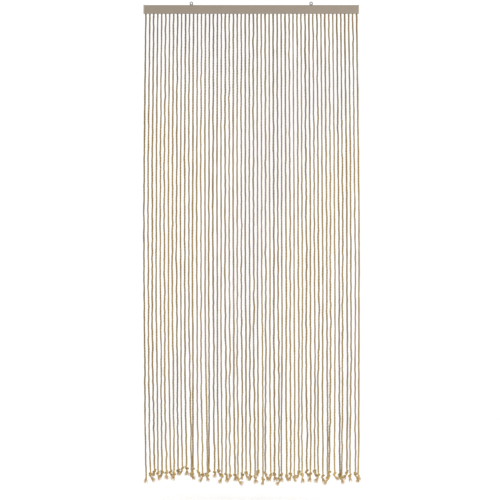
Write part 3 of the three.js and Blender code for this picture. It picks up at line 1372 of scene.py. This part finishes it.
        tinted = add_node(
            tree, "GeometryNodeStoreNamedAttribute", {"data_type": "FLOAT", "domain": "INSTANCE"},
            {"Name": Mark.TINT.value}, {"Geometry": brush, "Value": tint},
        )
        end_tree(tree, tinted, size["Finish"])
        return tree


class RailSection(NamedTuple):
    """Limits of a section across the rail."""

    front: float
    back: float
    bottom: float
    top: float


def limits(node: str) -> tuple[np.ndarray, np.ndarray]:
    """Gives a solid's lowest and highest corner in millimetres."""
    low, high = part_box(node)
    return np.array(low) / MM, np.array(high) / MM


def rounded_outline(section: RailSection, corner: float, steps: int) -> Outline:
    """Draws a rectangle with rounded corners.

    Args:
        section: the rectangle.
        corner: radius of its corners.
        steps: straight pieces in each corner.

    Returns:
        Points round the outline, from the lower front corner by way of the underside.
    """
    middles = (
        (section.front + corner, section.bottom + corner, 180),
        (section.back - corner, section.bottom + corner, 270),
        (section.back - corner, section.top - corner, 0),
        (section.front + corner, section.top - corner, 90),
    )
    points = []
    for y, z, start in middles:
        for step in range(steps + 1):
            angle = math.radians(start + 90 * step / steps)
            points.append((y + corner * math.cos(angle), z + corner * math.sin(angle)))
    return points


def lofted(levels: list[float], outlines: list[Outline]) -> bmesh.types.BMesh:
    """Joins outlines along X into a closed bar.

    Args:
        levels: x of each outline, from left to right.
        outlines: the section at each level, with as many points at each.

    Returns:
        The bar, in metres.
    """
    shape = bmesh.new()
    rings = [
        [shape.verts.new(Vector((x, y, z)) * MM) for y, z in outline]
        for x, outline in zip(levels, outlines)
    ]
    for left, right in zip(rings, rings[1:]):
        for place in range(len(left)):
            after = (place + 1) % len(left)
            shape.faces.new((left[place], left[after], right[after], right[place]))
    for end in (rings[0], rings[-1]):
        shape.faces.new(end)
    return shape


@dataclass
class Rail:
    """The grooved bar that the ropes hang from, and the strip that holds them in its groove."""

    finish: MattPlastic = MattPlastic(
        name="matt_taupe_pvc", colour="#817668", cloud_colour="#887c6e", roughness=0.55
    )
    strip_finish: CottonTape = CottonTape()
    node: str = "rail"
    corner: float = 2.5
    corner_steps: int = 8
    sharp: float = 30.0  # degrees between faces, above which an edge stays sharp
    groove_width: float = 9.0
    groove_depth: float = 10.0
    lip: float = 0.6  # chamfer of the groove's mouth
    strip_node: str = "ropes"  # the solid that has the strip in it
    strip_gap: float = 0.3
    strip_recess: float = 0.8
    strip_reach: float = 443.6  # of the strip to each side
    strip_corner: float = 1.0
    strip_corner_steps: int = 3
    strip_sharp: float = 40.0

    def build(self) -> list[bpy.types.Object]:
        """Makes the rail and its heading strip.

        Returns:
            Both pieces.
        """
        low, high = limits(self.node)
        section = RailSection(low[1], high[1], low[2], high[2])
        outline = rounded_outline(section, self.corner, self.corner_steps)
        first_side = self.corner_steps + 1
        outline[first_side:first_side] = self.groove(section.bottom)
        bar = mesh_object("rail", lofted([low[0], high[0]], [outline] * 2), self.finish.build())
        smooth_by_angle(bar, self.sharp)
        seat(bar, Slot.RAIL, self.node)
        return [bar, self.strip(section.bottom)]

    def groove(self, bottom: float) -> Outline:
        """Draws the groove in the underside, from front to back.

        Args:
            bottom: height of the rail's underside.

        Returns:
            The groove's points.
        """
        half, roof = self.groove_width / 2, bottom + self.groove_depth
        front = [(-half - self.lip, bottom), (-half, bottom + self.lip), (-half, roof)]
        return front + [(-y, z) for y, z in reversed(front)]

    def strip(self, bottom: float) -> bpy.types.Object:
        """Makes the tape inside the groove.

        Args:
            bottom: height of the rail's underside.

        Returns:
            The tape.
        """
        half = self.groove_width / 2 - self.strip_gap
        roof = bottom + self.groove_depth - self.strip_gap
        section = RailSection(-half, half, bottom + self.strip_recess, roof)
        outline = rounded_outline(section, self.strip_corner, self.strip_corner_steps)
        shape = lofted([-self.strip_reach, self.strip_reach], [outline] * 2)
        tape = mesh_object("heading_strip", shape, self.strip_finish.build())
        smooth_by_angle(tape, self.strip_sharp)
        seat(tape, Slot.ROPE, self.strip_node)
        return tape


@dataclass
class EndCap:
    """A moulded plate that closes one end of the rail."""

    side: Side
    material: bpy.types.Material
    corner: float = 2.5
    corner_steps: int = 8
    edge: float = 0.8
    edge_steps: int = 4
    sharp: float = 35.0  # degrees between faces, above which an edge stays sharp

    def build(self) -> bpy.types.Object:
        """Makes the plate with softened edges.

        Returns:
            The plate.
        """
        node = f"end_cap_{self.side.value}"
        low, high = limits(node)
        section = RailSection(low[1], high[1], low[2], high[2])
        turns = np.radians(np.linspace(0, 90, self.edge_steps + 1))
        insets = self.edge * (1 - np.sin(turns))
        steps = self.edge * (1 - np.cos(turns))
        outlines = [self.outline(section, inset) for inset in insets]
        levels = [*(low[0] + steps), *(high[0] - steps[::-1])]
        plate = mesh_object(node + "_plate", lofted(levels, outlines + outlines[::-1]), self.material)
        smooth_by_angle(plate, self.sharp)
        seat(plate, Slot.END_CAP, node)
        return plate

    def outline(self, section: RailSection, inset: float) -> Outline:
        """Draws the plate's outline, drawn in by an inset.

        Args:
            section: the plate's limits.
            inset: how far the outline lies inside them.

        Returns:
            The outline's points.
        """
        front, back, bottom, top = section
        smaller = RailSection(front + inset, back - inset, bottom + inset, top - inset)
        return rounded_outline(smaller, self.corner - inset, self.corner_steps)


@dataclass
class HangingEye:
    """A screw eye of bent wire with a collar, on the rail's top edge."""

    side: Side
    material: bpy.types.Material
    wire: float = 3.6
    wire_sides: int = 20
    ring_start: float = -60.0  # degrees, where the bend of the shank runs into the ring
    ring_end: float = 252.0  # where the ring closes on the shank
    ring_steps: int = 44
    bend_steps: int = 8
    neck_pull: float = 0.75  # wire thicknesses over which the bend leaves the shank
    ring_pull: float = 0.6  # and over which it runs into the ring
    collar_radius: float = 6.4
    collar_height: float = 2.2
    collar_edge: float = 0.5
    collar_gap: float = 0.05  # above the rail
    sharp: float = 40.0  # degrees between faces, above which an edge stays sharp

    def build(self) -> bpy.types.Object:
        """Bends the wire, adds the collar and makes the eye.

        Returns:
            The eye.
        """
        node = f"hanging_eye_{self.side.value}"
        low, high = limits(node)
        wire, collar = self.wire_path(low, high), self.collar_path((low + high) / 2)
        piece = path_object(
            node + "_wire",
            [wire, collar[:, :3]],
            {Mark.GIRTH: [np.ones(len(wire)), collar[:, 3]]},
        )
        inputs = {
            "Wire radius": self.wire / 2 * MM,
            "Wire sides": self.wire_sides,
            "Finish": self.material,
        }
        run_tree(piece, self.wire_tree(inputs), inputs)
        smooth_by_angle(piece, self.sharp)
        seat(piece, Slot.STEEL, node)
        return piece

    def wire_path(self, low: np.ndarray, high: np.ndarray) -> np.ndarray:
        """Follows the wire up the shank, through its bend and round the ring.

        Args:
            low: the eye's lowest corner.
            high: its highest corner.

        Returns:
            Points on the wire's centre line.
        """
        ring = (high[0] - low[0] - self.wire) / 2
        middle = np.array([(low[0] + high[0]) / 2, 0.0, high[2] - self.wire / 2 - ring])
        angles = np.radians(np.linspace(self.ring_start, self.ring_end, self.ring_steps))
        around = np.stack([np.cos(angles), 0 * angles, np.sin(angles)], axis=1)
        foot = np.array([middle[0], 0.0, low[2]])
        neck = np.array([middle[0], 0.0, -self.wire / 2])
        meet = middle + ring * around[0]
        back = np.array([around[0, 2], 0.0, -around[0, 0]]) * self.wire * self.ring_pull
        t = np.linspace(0.0, 1.0, self.bend_steps, endpoint=False)[:, None]
        bend = (
            (1 - t) ** 3 * neck
            + 3 * (1 - t) ** 2 * t * (neck + (0, 0, self.wire * self.neck_pull))
            + 3 * (1 - t) * t**2 * (meet + back)
            + t**3 * meet
        )
        return np.concatenate([[foot], bend, middle + ring * around])

    def collar_path(self, middle: np.ndarray) -> np.ndarray:
        """Lays out the collar's axis.

        Args:
            middle: the eye's middle.

        Returns:
            Points up the axis, each with the collar's radius there in wire radii.
        """
        full = self.collar_radius / (self.wire / 2)
        less = (self.collar_radius - self.collar_edge) / (self.wire / 2)
        low, high = self.collar_gap, self.collar_gap + self.collar_height
        levels = ((low, full), (high - self.collar_edge, full), (high, less))
        return np.array([(middle[0], 0.0, z, girth) for z, girth in levels])

    @staticmethod
    def wire_tree(inputs: dict[str, Any]) -> bpy.types.NodeTree:
        """Builds the tree that runs a round wire along a line.

        Args:
            inputs: the tree's inputs.

        Returns:
            The tree.
        """
        tree, size = new_tree("bent_wire", inputs)
        line = add_node(tree, "GeometryNodeMeshToCurve", links={"Mesh": size["Geometry"]})
        section = add_node(
            tree, "GeometryNodeCurvePrimitiveCircle",
            links={"Resolution": size["Wire sides"], "Radius": size["Wire radius"]},
        )
        girth = add_node(
            tree, "GeometryNodeInputNamedAttribute", values={"Name": Mark.GIRTH.value}
        )
        wire = add_node(
            tree, "GeometryNodeCurveToMesh", values={"Fill Caps": True},
            links={"Curve": line, "Profile Curve": section, "Scale": girth},
        )
        soft = add_node(tree, "GeometryNodeSetShadeSmooth", links={0: wire})
        end_tree(tree, soft, size["Finish"])
        return tree


@dataclass
class Studio:
    """A white studio: pale floor, soft light all round, a soft box low at the right front, a long lens."""

    floor_colour: str = "#ffffff"
    floor_roughness: float = 0.95
    floor_drop: float = 2070.0
    floor_reach: float = 9000.0
    lens: float = 300.0
    sensor: float = 36.0
    far_clip: float = 100000.0
    frame_width: float = 2088.0  # that the picture takes in at the curtain
    aim_x: float = -5.2
    aim_z: float = -1022.4
    sky_colour: str = "#ffffff"
    sky_strength: float = 1.04
    key_power: float = 60.0  # watts
    key_size: float = 2000.0
    key_place: tuple[float, float, float] = (1700.0, -2400.0, -1500.0)
    key_aim: tuple[float, float, float] = (0.0, 0.0, -1500.0)

    def build(self) -> None:
        """Makes the floor, the lights and the camera."""
        bpy.context.scene.view_settings.view_transform = "Standard"
        self.sky()
        self.floor()
        self.key()
        self.camera()

    def sky(self) -> None:
        """Surrounds the scene with even white light."""
        world = bpy.data.worlds.new("studio_white")
        world.use_nodes = True
        light = {"Color": linear(self.sky_colour), "Strength": self.sky_strength}
        feed_node(world.node_tree.nodes["Background"], light, {})
        bpy.context.scene.world = world

    def floor(self) -> None:
        """Lays the pale floor below the tails."""
        material, _, shader = new_material("studio_floor")
        skin = {"Base Color": linear(self.floor_colour), "Roughness": self.floor_roughness}
        feed_node(shader, skin, {})
        shape = bmesh.new()
        bmesh.ops.create_grid(shape, size=self.floor_reach * MM)
        bmesh.ops.translate(shape, verts=shape.verts, vec=Vector((0, 0, -self.floor_drop * MM)))
        mesh_object("floor", shape, material)

    def key(self) -> None:
        """Sets up the soft box."""
        light = bpy.data.lights.new("soft_box", "AREA")
        light.energy = self.key_power
        light.size = self.key_size * MM
        lamp = bpy.data.objects.new("soft_box", light)
        lamp.location = Vector(self.key_place) * MM
        aim = Vector(self.key_aim) * MM - lamp.location
        lamp.rotation_euler = aim.to_track_quat("-Z", "Y").to_euler()
        bpy.context.scene.collection.objects.link(lamp)

    def camera(self) -> None:
        """Sets the camera level with the curtain's middle, straight in front."""
        data = bpy.data.cameras.new("camera")
        data.lens = self.lens
        data.sensor_width = self.sensor
        data.clip_end = self.far_clip * MM
        eye = bpy.data.objects.new("camera", data)
        distance = self.frame_width * self.lens / self.sensor
        eye.location = Vector((self.aim_x, -distance, self.aim_z)) * MM
        eye.rotation_euler = (math.radians(90), 0.0, 0.0)
        bpy.context.scene.collection.objects.link(eye)
        bpy.context.scene.camera = eye


def main() -> None:
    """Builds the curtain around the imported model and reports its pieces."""
    logging.basicConfig(level=logging.INFO, format="%(name)s: %(message)s")
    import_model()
    Studio().build()
    pieces = Rail().build()
    cap_plastic = MattPlastic(
        name="moulded_taupe_cap", colour="#958d7e", cloud_colour="#9d9485", roughness=0.48
    ).build()
    steel = ZincSteel().build()
    for side in Side:
        pieces += [EndCap(side, cap_plastic).build(), HangingEye(side, steel).build()]
    pieces += Ropes().build()
    for piece in pieces:
        piece.data.calc_loop_triangles()
        LOG.info("%s: %d triangles", piece.name, len(piece.data.loop_triangles))


if __name__ == "__main__":
    main()
